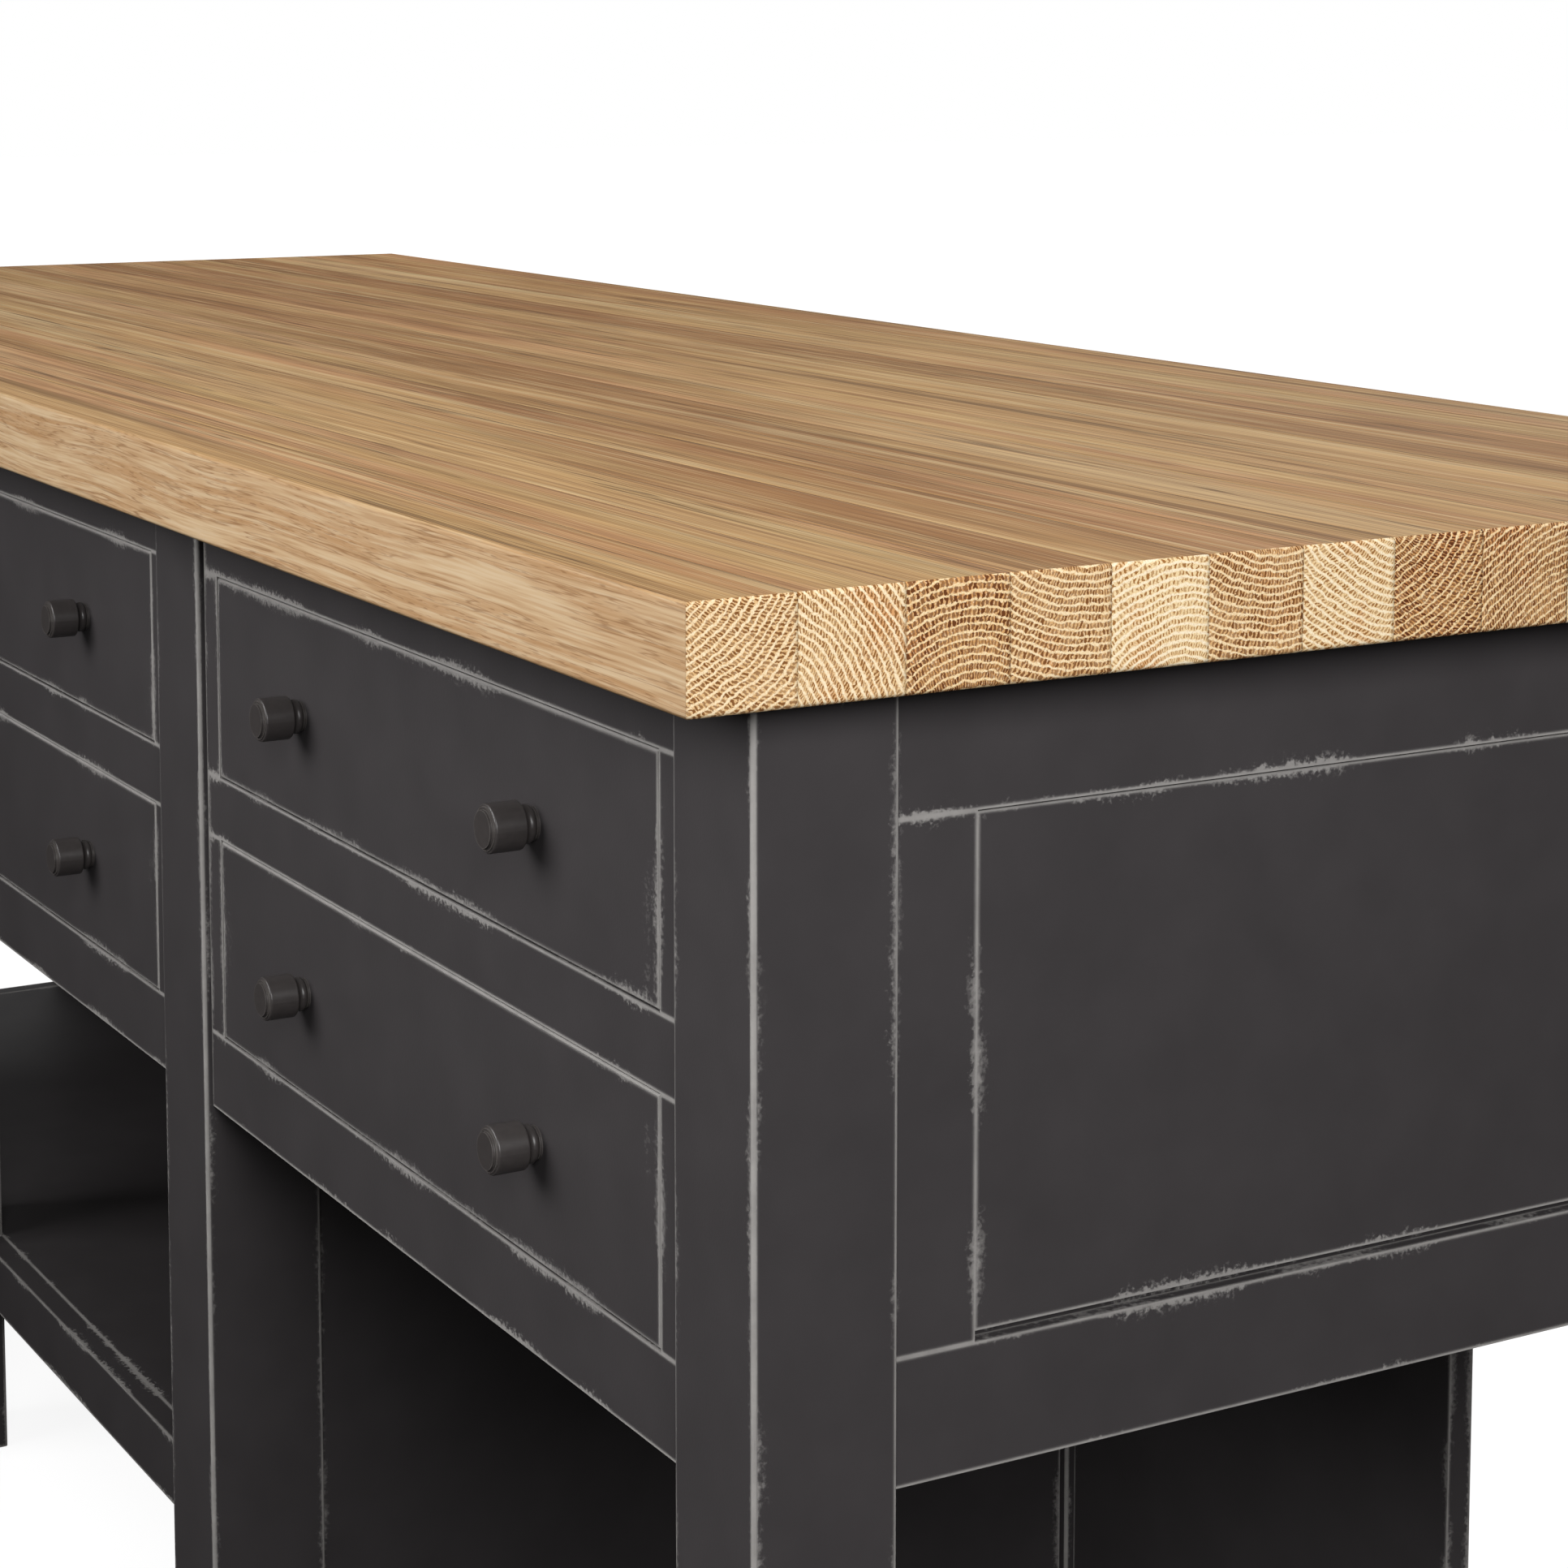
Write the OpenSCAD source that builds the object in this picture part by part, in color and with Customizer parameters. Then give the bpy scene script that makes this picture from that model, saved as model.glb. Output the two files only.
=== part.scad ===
// Long kitchen island unit: an oak butcher-block top on a painted frame of eight square legs,
// three bays of stacked inset drawers, framed ends and rear, and a low shelf under two bays.
// X runs along the unit, front is -Y, the origin is on the floor under the middle.

/* [Overall] */
// Length of the oak top
top_l = 2214; // [2000:2:2500]
// Width of the oak top, front to rear
top_w = 810; // [760:1:900]
// Height from the floor to the upper face of the top
unit_h = 914; // [880:1:960]

/* [Oak top] */
// Thickness of the top
top_t = 50; // [38:1:60]
// Staves glued side by side
stave_n = 15; // [11:2:19]
// Chamfer round the top's outer edges
top_ease = 1.2; // [0.5:0.1:3]
// How far the top runs past the legs at each end
over_end = 24; // [10:1:40]
// How far the top runs past the legs at the front and the rear
over_side = 45; // [38:1:60]

/* [Legs] */
// Side of each square leg
leg = 75; // [64:1:85]
// Rounding of the worn arrises
leg_r = 2.5; // [1:0.5:4]

/* [Drawer frame] */
// Thickness of the frame members
frame_t = 22; // [20:1:26]
// Setback of the front and rear frames behind the leg faces
set_front = 5; // [4:0.5:8]
// Height of the rail above the drawers
rail_top_h = 39; // [30:1:50]
// Height of each drawer opening
open_h = 124; // [110:1:140]
// Height of the rail between the drawers
rail_mid_h = 38; // [30:1:45]
// Height of the rail under the drawers
rail_bot_h = 48; // [40:1:60]
// Width of the short stiles beside the drawers
stile_w = 22; // [18:1:30]

/* [Framed panels] */
// Setback of the end frames behind the leg faces
set_end = 8; // [4:0.5:10]
// Height of the rail above a panel
panel_top_h = 63; // [50:1:75]
// Height of the rail under a panel
panel_bot_h = 61; // [50:1:75]
// Width of the stiles beside a panel
panel_stile_w = 46; // [36:1:60]
// Width of the groove that holds the panel
groove_w = 6; // [5:0.5:8]
// Depth of the groove that holds the panel
groove_d = 8; // [6:1:10]
// Step from the frame's face back to the panel's field
field_step = 2; // [1:0.5:3]
// Shadow gap under the field
shadow_gap = 4.5; // [3:0.5:7]
// Gap round the field's other edges
field_gap = 1; // [0.5:0.5:2]

/* [Joints] */
// Length of the rail tenons
tenon_l = 20; // [15:1:28]
// Thickness of the rail tenons
tenon_t = 8; // [6:1:10]
// Shoulder above and below each tenon
shoulder = 6; // [4:1:8]
// Depth of the stub tenons on the short stiles
stub_l = 8; // [5:1:10]
// Glue line between a tenon, tail or tongue and its seat
joint_gap = 0.1; // [0.05:0.05:0.2]
// Wood left above and below the line where two tenons pass in one leg
tenon_part = 2; // [1:0.5:4]

/* [Drawers] */
// Gap round a drawer front
drawer_gap = 1; // [0.8:0.1:3]
// Thickness of a drawer front
front_t = 20; // [18:1:22]
// Chamfer round a drawer front's face
front_ease = 1; // [0.5:0.5:2]
// Length of a drawer, front face to back
drawer_l = 520; // [400:5:560]
// Height of the drawer sides
side_h = 115; // [90:1:119]
// Thickness of the drawer sides
side_t = 12; // [10:1:15]
// Thickness of the drawer back
back_t = 12; // [10:1:15]
// How far the back stops below the sides' upper edges
back_drop = 6; // [3:1:12]
// Thickness of the drawer bottom
bottom_t = 6; // [4:1:8]
// Height of the bottom's groove above the sides' lower edges
bottom_up = 9; // [7:1:12]
// Depth of the bottom's groove
bottom_in = 5; // [4:1:6]
// Running gap between a drawer side and its runner
ride_gap = 0.3; // [0.2:0.1:0.5]
// Running gap between a drawer side and its guide
guide_gap = 0.5; // [0.4:0.1:1]

/* [Dovetails] */
// Tails at the front of each side
tails_front = 3; // [2:1:4]
// Tails at the back of each side
tails_back = 2; // [2:1:3]
// Width of a pin at its narrow end
pin_w = 8; // [5:0.5:10]
// Slope of the tails, run for a rise of one
tail_slope = 6; // [5:0.5:8]
// Front left in front of the tails
lap = 5; // [4:1:7]

/* [Knobs] */
// Distance of each knob from the drawer's middle
knob_off = 154; // [120:1:200]
// Diameter of the knob's head
knob_d = 25; // [22:0.5:32]
// Length of the knob's head
knob_head_l = 17.4; // [12:0.1:20]
// Diameter of the raised disc on the head
disc_d = 19; // [16:0.5:22]
// Height of the raised disc
disc_h = 1.4; // [0.5:0.1:3]
// Diameter of the step round the disc
step_d = 22; // [20:0.5:24]
// Height of the step
step_h = 0.7; // [0.5:0.1:2]
// Diameter of the neck
neck_d = 11; // [8:0.5:14]
// Length of the neck
neck_l = 1.6; // [1:0.1:4]
// Diameter of the bead behind the neck
bead_d = 20; // [16:0.5:24]
// Height of the bead
bead_h = 5; // [3:0.1:6]
// Diameter of the foot against the drawer
foot_d = 17.5; // [14:0.5:22]
// Height of the foot
foot_h = 1.6; // [0.8:0.1:3]
// Rounding of the head's rims
knob_r = 1; // [0.5:0.1:3]
// Diameter of the knob's screw
screw_d = 4; // [3:0.5:5]
// Diameter of the screw's head inside the drawer
screw_head_d = 9; // [7:0.5:12]
// Height of the screw's head
screw_head_h = 2.4; // [1.5:0.1:4]
// Clearance round the screw
screw_gap = 0.2; // [0.1:0.1:0.5]

/* [Drawer carriage] */
// How far each runner reaches into the opening
runner_in = 18; // [14:1:24]
// Height of the guides above the runners
guide_h = 30; // [20:1:45]
// Length of a drawer stop
stop_l = 20; // [15:1:30]
// Height of a drawer stop
stop_h = 14; // [8:1:20]
// Gap between a closed drawer and its stops
stop_gap = 0.3; // [0.2:0.1:1]
// Space between the rear legs' inner faces and the rear bearers
bearer_set = 7; // [0:1:12]

/* [Low shelf and boards] */
// Height of the shelf's upper face above the floor
shelf_z = 178; // [120:1:260]
// Thickness of the shelf, partitions and boards
board_t = 18; // [15:1:22]
// Height of the shelf rails
shelf_rail_h = 47; // [35:1:60]
// Side of the square cleats under the shelf
cleat = 20; // [15:1:25]
// Space between two cleats at a corner
cleat_gap = 5; // [2:1:20]
// Space between the floor and the boards that close the open bay
low_gap = 20; // [5:1:60]
// Setback of the partition behind the post's face
part_set = 8; // [4:1:20]
// Distance of the spine's front face before the middle
spine_y = 15; // [0:1:30]
// Width of the board that closes part of the open bay's rear
closer_w = 404; // [300:1:500]

/* [Hidden] */

OAK_A = "#c79b63"; OAK_B = "#b98a55";
PAINT = "#3d3a3c"; PAINT_IN = "#2b292a"; BEECH = "#c9b08a"; PLY = "#d6c29c"; KNOB = "#2f2c2d";

// How far a cut runs past the face it starts from
over = 1;

// Frame outline
body_l = top_l - 2 * over_end;
body_w = top_w - 2 * over_side;
z_under = unit_h - top_t;
bay_w = (body_l - 4 * leg) / 3;
bay_pitch = bay_w + leg;
BAYS = [-1, 0, 1];
LEGS = [-1.5, -0.5, 0.5, 1.5];
function leg_x(i) = i * bay_pitch;
function bay_x(i) = i * bay_pitch;
leg_y = (body_w - leg) / 2;
gap_y = body_w - 2 * leg;
in_y = gap_y / 2;

// Heights of the drawer frame, from the top down
z_rail = z_under - rail_top_h;
z_up = z_rail - open_h;
z_mid = z_up - rail_mid_h;
z_lo = z_mid - open_h;
z_apron = z_lo - rail_bot_h;
apron_h = z_under - z_apron;

// Drawer sizes
open_w = bay_w - 2 * stile_w;
draw_w = open_w - 2 * drawer_gap;
draw_in = draw_w / 2 - side_t;
y_face = -body_w / 2 + set_front;
y_frame = y_face + frame_t;
y_bearer = in_y + bearer_set;
bottom_z = ride_gap + bottom_up;
back_z = bottom_z + bottom_t + joint_gap;
back_top = ride_gap + side_h - back_drop;
lower_runner_z = z_lo - rail_mid_h;

// Low parts
shelf_lo = shelf_z - board_t;
rail_lo = shelf_z - shelf_rail_h;
part_x = leg_x(0.5) + leg / 2 - part_set - board_t;
left_x = -part_x - board_t;
end_in = body_l / 2 - leg;

module blk(x, y, z) {
    translate([x[0], y[0], z[0]]) cube([x[1] - x[0], y[1] - y[0], z[1] - z[0]]);
}

// Extrudes an outline drawn in Y and Z from x0 to x1
module along_x(x0, x1) {
    translate([x0, 0, 0]) rotate([90, 0, 90]) linear_extrude(x1 - x0) children();
}

// Extrudes an outline drawn in X and Z from y0 to y1
module along_y(y0, y1) {
    translate([0, y1, 0]) rotate([90, 0, 0]) linear_extrude(y1 - y0) children();
}

// Rectangle with its four corners cut off
module eased(a, b, c) {
    polygon([[a[0] + c, b[0]], [a[1] - c, b[0]], [a[1], b[0] + c], [a[1], b[1] - c],
             [a[1] - c, b[1]], [a[0] + c, b[1]], [a[0], b[1] - c], [a[0], b[0] + c]]);
}

// Rectangle with rounded corners, centred
module rounded(w, d, r) {
    square([w - 2 * r, d], center = true);
    square([w, d - 2 * r], center = true);
    for (x = [-1, 1], y = [-1, 1])
        translate([x * (w / 2 - r), y * (d / 2 - r)]) circle(r = r, $fn = 48);
}

// Places: each frame is drawn facing -Y with its face on y = 0
module at_front(i) translate([bay_x(i), y_face, 0]) children();
module at_rear(i) translate([bay_x(i), -y_face, 0]) rotate([0, 0, 180]) children();
module at_end(s) translate([s * (body_l / 2 - set_end), 0, 0]) rotate([0, 0, 90 * s]) children();

// Oak top
module slab() {
    intersection() {
        along_x(-top_l / 2, top_l / 2) eased([-top_w / 2, top_w / 2], [z_under, unit_h], top_ease);
        along_y(-top_w / 2, top_w / 2) eased([-top_l / 2, top_l / 2], [z_under, unit_h], top_ease);
    }
}

module worktop_staves(first, tint) {
    stave_w = top_w / stave_n;
    color(tint) for (i = [first:2:stave_n - 1]) intersection() {
        slab();
        blk([-top_l / 2 - over, top_l / 2 + over],
            [-top_w / 2 + i * stave_w, -top_w / 2 + (i + 1) * stave_w],
            [z_under - over, unit_h + over]);
    }
}

// Tenons of a frame of width w, one at each end of each rail; g is the room left round them
module rail_tenons(w, z, h, g) {
    y_mid = frame_t / 2;
    for (s = [-1, 1])
        blk([s * w / 2 - (s < 0 ? tenon_l + g : over), s * w / 2 + (s > 0 ? tenon_l + g : over)],
            [y_mid - tenon_t / 2 - g, y_mid + tenon_t / 2 + g], [z + shoulder - g, z + h - shoulder + g]);
}

module drawer_frame_tenons(g) {
    rail_tenons(bay_w, z_rail, rail_top_h, g);
    rail_tenons(bay_w, z_mid, rail_mid_h, g);
    rail_tenons(bay_w, z_apron, rail_bot_h, g);
}

module panel_frame_tenons(w, g) {
    rail_tenons(w, z_under - panel_top_h, panel_top_h, g);
    rail_tenons(w, z_apron, panel_bot_h, g);
}

// Tenons of the low shelf's rails: the end rail's pass under the long rails' in the corner legs
module shelf_tenons(g) {
    y_mid = in_y + board_t / 2;
    z_split = shelf_z - shelf_rail_h / 2;
    for (i = [-1, 0], y = [-1, 1], s = [-1, 1])
        blk([bay_x(i) + s * bay_w / 2 - (s < 0 ? tenon_l + g : over),
             bay_x(i) + s * bay_w / 2 + (s > 0 ? tenon_l + g : over)],
            [y * y_mid - tenon_t / 2 - g, y * y_mid + tenon_t / 2 + g],
            [z_split + tenon_part - g, shelf_z - shoulder + g]);
    for (s = [-1, 1])
        blk([-end_in - board_t / 2 - tenon_t / 2 - g, -end_in - board_t / 2 + tenon_t / 2 + g],
            [s * in_y - (s < 0 ? tenon_l + g : over), s * in_y + (s > 0 ? tenon_l + g : over)],
            [rail_lo + shoulder - g, z_split - tenon_part + g]);
}

module mortises() {
    for (i = BAYS) {
        at_front(i) drawer_frame_tenons(joint_gap);
        at_rear(i) panel_frame_tenons(bay_w, joint_gap);
    }
    for (s = [-1, 1]) at_end(s) panel_frame_tenons(gap_y, joint_gap);
    shelf_tenons(joint_gap);
}

module legs(list) {
    color(PAINT) difference() {
        for (i = list, y = [-1, 1])
            translate([leg_x(i), y * leg_y, 0]) linear_extrude(z_under) rounded(leg, leg, leg_r);
        mortises();
    }
}

// Short stiles of the drawer frame, with their stub tenons
module stile_stubs(z0, g) {
    y_mid = frame_t / 2;
    for (s = [-1, 1])
        blk([s * (bay_w - stile_w) / 2 - tenon_t / 2 - g, s * (bay_w - stile_w) / 2 + tenon_t / 2 + g],
            [y_mid - tenon_t / 2 - g, y_mid + tenon_t / 2 + g],
            [z0 - stub_l - g, z0 + open_h + stub_l + g]);
}

module front_rail(z, h) {
    color(PAINT) for (i = BAYS) at_front(i) difference() {
        union() {
            blk([-bay_w / 2, bay_w / 2], [0, frame_t], [z, z + h]);
            rail_tenons(bay_w, z, h, 0);
        }
        stile_stubs(z_up, joint_gap);
        stile_stubs(z_lo, joint_gap);
    }
}

module front_stiles() {
    color(PAINT) for (i = BAYS, z = [z_up, z_lo]) at_front(i) {
        for (s = [-1, 1]) blk([s * bay_w / 2 - (s > 0 ? stile_w : 0), s * bay_w / 2 + (s < 0 ? stile_w : 0)],
                              [0, frame_t], [z, z + open_h]);
        stile_stubs(z, 0);
    }
}

// Framed panel: grooved rails, grooved stiles and a panel whose tongue lies in the groove
y_groove = (frame_t - groove_w) / 2;
z_hi = z_under - panel_top_h;
z_low = z_apron + panel_bot_h;

module panel_rails(w) {
    color(PAINT) for (z = [[z_hi, z_under, z_hi - over, z_hi + groove_d],
                           [z_apron, z_low, z_low - groove_d, z_low + over]]) difference() {
        union() {
            blk([-w / 2, w / 2], [0, frame_t], [z[0], z[1]]);
            rail_tenons(w, z[0], z[1] - z[0], 0);
        }
        blk([-w / 2, w / 2], [y_groove, y_groove + groove_w], [z[2], z[3]]);
    }
}

module panel_stiles(w) {
    color(PAINT) for (s = [0, 1]) mirror([s, 0, 0]) difference() {
        union() {
            blk([w / 2 - panel_stile_w, w / 2], [0, frame_t], [z_low, z_hi]);
            blk([w / 2 - panel_stile_w, w / 2], [y_groove + joint_gap, y_groove + groove_w - joint_gap],
                [z_low - groove_d + joint_gap, z_hi + groove_d - joint_gap]);
        }
        blk([w / 2 - panel_stile_w - over, w / 2 - panel_stile_w + groove_d],
            [y_groove, y_groove + groove_w], [z_low - groove_d, z_hi + groove_d]);
    }
}

module panel(w) {
    half = w / 2 - panel_stile_w;
    color(PAINT) {
        blk([-half - groove_d + field_gap, half + groove_d - field_gap],
            [y_groove + joint_gap, y_groove + groove_w - joint_gap],
            [z_low - groove_d + joint_gap, z_hi + groove_d - field_gap]);
        blk([-half + field_gap, half - field_gap], [field_step, y_groove + groove_w / 2],
            [z_low + shadow_gap, z_hi - field_gap]);
    }
}

// Boards inside and under the frame
module rear_bearers() {
    color(BEECH) for (i = BAYS, z = [z_mid, lower_runner_z])
        blk([bay_x(i) - bay_w / 2, bay_x(i) + bay_w / 2], [y_bearer, y_bearer + board_t],
            [z, z + rail_mid_h]);
}

module partition_right() {
    color(PAINT_IN) blk([part_x, part_x + board_t], [-in_y, in_y], [low_gap, z_under]);
}

module divider_left() {
    color(PAINT_IN) blk([left_x, left_x + board_t], [-in_y, in_y], [lower_runner_z, z_under]);
}

module spine_board() {
    color(PAINT_IN) blk([-end_in - board_t, part_x], [-spine_y, board_t - spine_y],
                        [shelf_z, lower_runner_z]);
}

module closer_board() {
    post_face = leg_x(0.5) + leg / 2;
    color(PAINT) blk([post_face, post_face + closer_w], [y_bearer, y_bearer + board_t],
                     [low_gap, lower_runner_z]);
}

// Carriage of the drawers: runner under each side, guide beside it, kicker above, stop behind
module runners() {
    color(BEECH) for (i = BAYS, z = [z_mid, lower_runner_z], s = [0, 1])
        translate([bay_x(i), 0, 0]) mirror([s, 0, 0])
            blk([bay_w / 2 - stile_w - runner_in, bay_w / 2], [y_frame, y_bearer], [z, z + rail_mid_h]);
}

module guides() {
    color(BEECH) for (i = BAYS, z = [z_up, z_lo], s = [0, 1])
        translate([bay_x(i), 0, 0]) mirror([s, 0, 0])
            blk([draw_w / 2 + guide_gap, bay_w / 2], [y_frame, y_bearer], [z, z + guide_h]);
}

module kickers() {
    color(BEECH) for (i = BAYS, s = [0, 1])
        translate([bay_x(i), 0, 0]) mirror([s, 0, 0])
            blk([bay_w / 2 - stile_w - runner_in, bay_w / 2], [y_frame, -y_frame], [z_rail, z_under]);
}

module drawer_stops() {
    y_stop = y_face + drawer_l + stop_gap;
    color(BEECH) for (i = BAYS, z = [z_up, z_lo], s = [0, 1])
        translate([bay_x(i), 0, 0]) mirror([s, 0, 0])
            blk([bay_w / 2 - stile_w - runner_in, draw_w / 2 + guide_gap],
                [y_stop, y_stop + stop_l], [z, z + stop_h]);
}

// Low shelf under the left and centre bays
module shelf_board() {
    color(PAINT) blk([-end_in, part_x], [-in_y, in_y], [shelf_lo, shelf_z]);
}

module shelf_rails() {
    color(PAINT) {
        for (i = [-1, 0], s = [0, 1]) mirror([0, s, 0])
            blk([bay_x(i) - bay_w / 2, bay_x(i) + bay_w / 2], [-in_y - board_t, -in_y], [rail_lo, shelf_z]);
        blk([-end_in - board_t, -end_in], [-in_y, in_y], [rail_lo, shelf_z]);
        shelf_tenons(0);
    }
}

module shelf_cleats() {
    z = [shelf_lo - cleat, shelf_lo];
    color(BEECH) {
        for (i = [-1, 0], s = [0, 1]) mirror([0, s, 0])
            blk([bay_x(i) - bay_w / 2, bay_x(i) + bay_w / 2], [-in_y, -in_y + cleat], z);
        for (x = [-end_in, part_x - cleat])
            blk([x, x + cleat], [-in_y + cleat + cleat_gap, in_y - cleat - cleat_gap], z);
    }
}

// Drawer: y = 0 is the front's face and z = 0 is the runner's upper face
module at_drawer(i, z) translate([bay_x(i), y_face, z]) children();

// Row of tails between z0 and z1, widening from y_root to y_tip; g is the room left round them
module tails(y_root, y_tip, z0, z1, n, g) {
    pitch = (z1 - z0) / n;
    s = sign(y_tip - y_root);
    tip = (pitch - pin_w) / 2 + g;
    root = tip - abs(y_tip - y_root) / tail_slope;
    for (i = [0:n - 1]) translate([0, z0 + pitch * (i + 0.5)])
        polygon([[y_root - s * over, -root], [y_root, -root], [y_tip + s * g, -tip],
                 [y_tip + s * g, tip], [y_root, root], [y_root - s * over, root]]);
}

module front_tails(g) tails(front_t, lap, ride_gap, ride_gap + side_h, tails_front, g);
module back_tails(g) tails(drawer_l - back_t, drawer_l, back_z, back_top, tails_back, g);

module bottom_slot(g) {
    blk([-draw_in - bottom_in - g, draw_in + bottom_in + g], [front_t - bottom_in - g, drawer_l + over],
        [bottom_z - g, bottom_z + bottom_t + g]);
}

module drawer_front(i, z) {
    z_face = [drawer_gap, open_h - drawer_gap];
    color(PAINT) at_drawer(i, z) difference() {
        intersection() {
            along_x(-draw_w / 2, draw_w / 2)
                polygon([[front_ease, z_face[0]], [front_t, z_face[0]], [front_t, z_face[1]],
                         [front_ease, z_face[1]], [0, z_face[1] - front_ease], [0, z_face[0] + front_ease]]);
            translate([0, 0, z_face[0]]) linear_extrude(z_face[1] - z_face[0])
                polygon([[-draw_w / 2, front_ease], [front_ease - draw_w / 2, 0],
                         [draw_w / 2 - front_ease, 0], [draw_w / 2, front_ease],
                         [draw_w / 2, front_t], [-draw_w / 2, front_t]]);
        }
        for (s = [0, 1]) mirror([s, 0, 0])
            along_x(draw_in - joint_gap, draw_w / 2 + over) front_tails(joint_gap);
        blk([-draw_in, draw_in], [front_t - bottom_in - joint_gap, front_t + over],
            [bottom_z - joint_gap, bottom_z + bottom_t + joint_gap]);
        for (x = [-1, 1]) translate([x * knob_off, front_t + over, open_h / 2])
            rotate([90, 0, 0]) cylinder(d = screw_d + 2 * screw_gap, h = front_t + 2 * over, $fn = 32);
    }
}

module drawer_sides(i, z) {
    color(BEECH) at_drawer(i, z) for (s = [0, 1]) mirror([s, 0, 0]) difference() {
        along_x(draw_in, draw_w / 2) {
            translate([front_t, ride_gap]) square([drawer_l - back_t - front_t, side_h]);
            translate([front_t, ride_gap]) square([drawer_l - front_t, bottom_up + bottom_t]);
            translate([front_t, back_top]) square([drawer_l - front_t, back_drop]);
            front_tails(0);
            back_tails(0);
        }
        bottom_slot(joint_gap);
    }
}

module drawer_back(i, z) {
    color(BEECH) at_drawer(i, z) difference() {
        blk([-draw_w / 2, draw_w / 2], [drawer_l - back_t, drawer_l], [back_z, back_top - joint_gap]);
        for (s = [0, 1]) mirror([s, 0, 0])
            along_x(draw_in - joint_gap, draw_w / 2 + over) back_tails(joint_gap);
    }
}

module drawer_bottom(i, z) {
    color(PLY) at_drawer(i, z)
        blk([-draw_in - bottom_in + joint_gap, draw_in + bottom_in - joint_gap],
            [front_t - bottom_in + joint_gap, drawer_l], [bottom_z, bottom_z + bottom_t]);
}

// Turned knob: foot, bead, neck, head, step and disc, with its screw through the drawer front
module knob() {
    head_z = foot_h + bead_h + neck_l;
    low_z = -front_t - screw_head_h;
    rotate_extrude($fn = 96) intersection() {
        union() {
            square([foot_d / 2, foot_h]);
            square([bead_d / 2 - bead_h / 2, foot_h + bead_h]);
            translate([bead_d / 2 - bead_h / 2, foot_h + bead_h / 2]) circle(d = bead_h, $fn = 48);
            square([neck_d / 2, head_z + over]);
            translate([0, head_z]) square([knob_d / 2 - knob_r, knob_head_l]);
            translate([0, head_z + knob_r]) square([knob_d / 2, knob_head_l - 2 * knob_r]);
            for (h = [knob_r, knob_head_l - knob_r])
                translate([knob_d / 2 - knob_r, head_z + h]) circle(r = knob_r, $fn = 48);
            translate([0, head_z]) square([step_d / 2, knob_head_l + step_h]);
            translate([0, head_z]) square([disc_d / 2, knob_head_l + step_h + disc_h]);
            translate([0, low_z]) square([screw_d / 2, over - low_z]);
            translate([0, low_z]) square([screw_head_d / 2, screw_head_h]);
        }
        translate([0, low_z]) square([knob_d, head_z + knob_head_l + step_h + disc_h - low_z]);
    }
}

module drawer_knobs(i, z) {
    color(KNOB) at_drawer(i, z) for (x = [-1, 1])
        translate([x * knob_off, 0, open_h / 2]) rotate([90, 0, 0]) knob();
}

worktop_staves(0, OAK_A);  // worktop_staves_odd
worktop_staves(1, OAK_B);  // worktop_staves_even
legs([-1.5, 1.5]);  // legs_corner
legs([-0.5, 0.5]);  // legs_post
front_rail(z_rail, rail_top_h);  // front_rails_top
front_rail(z_mid, rail_mid_h);  // front_rails_mid
front_rail(z_apron, rail_bot_h);  // front_rails_bottom
front_stiles();
at_end(1) panel_rails(gap_y);  // end_right_rails
at_end(1) panel_stiles(gap_y);  // end_right_stiles
at_end(1) panel(gap_y);  // end_right_panel
at_end(-1) panel_rails(gap_y);  // end_left_rails
at_end(-1) panel_stiles(gap_y);  // end_left_stiles
at_end(-1) panel(gap_y);  // end_left_panel
for (i = BAYS) at_rear(i) panel_rails(bay_w);  // rear_rails
for (i = BAYS) at_rear(i) panel_stiles(bay_w);  // rear_stiles
for (i = BAYS) at_rear(i) panel(bay_w);  // rear_panels
rear_bearers();
partition_right();
divider_left();
spine_board();
closer_board();
runners();
guides();
kickers();
drawer_stops();
shelf_board();
shelf_rails();
shelf_cleats();
drawer_front(-1, z_up);  // drawer_left_upper_front
drawer_sides(-1, z_up);  // drawer_left_upper_sides
drawer_back(-1, z_up);  // drawer_left_upper_back
drawer_bottom(-1, z_up);  // drawer_left_upper_bottom
drawer_knobs(-1, z_up);  // drawer_left_upper_knobs
drawer_front(-1, z_lo);  // drawer_left_lower_front
drawer_sides(-1, z_lo);  // drawer_left_lower_sides
drawer_back(-1, z_lo);  // drawer_left_lower_back
drawer_bottom(-1, z_lo);  // drawer_left_lower_bottom
drawer_knobs(-1, z_lo);  // drawer_left_lower_knobs
drawer_front(0, z_up);  // drawer_centre_upper_front
drawer_sides(0, z_up);  // drawer_centre_upper_sides
drawer_back(0, z_up);  // drawer_centre_upper_back
drawer_bottom(0, z_up);  // drawer_centre_upper_bottom
drawer_knobs(0, z_up);  // drawer_centre_upper_knobs
drawer_front(0, z_lo);  // drawer_centre_lower_front
drawer_sides(0, z_lo);  // drawer_centre_lower_sides
drawer_back(0, z_lo);  // drawer_centre_lower_back
drawer_bottom(0, z_lo);  // drawer_centre_lower_bottom
drawer_knobs(0, z_lo);  // drawer_centre_lower_knobs
drawer_front(1, z_up);  // drawer_right_upper_front
drawer_sides(1, z_up);  // drawer_right_upper_sides
drawer_back(1, z_up);  // drawer_right_upper_back
drawer_bottom(1, z_up);  // drawer_right_upper_bottom
drawer_knobs(1, z_up);  // drawer_right_upper_knobs
drawer_front(1, z_lo);  // drawer_right_lower_front
drawer_sides(1, z_lo);  // drawer_right_lower_sides
drawer_back(1, z_lo);  // drawer_right_lower_back
drawer_bottom(1, z_lo);  // drawer_right_lower_bottom
drawer_knobs(1, z_lo);  // drawer_right_lower_knobs
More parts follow.
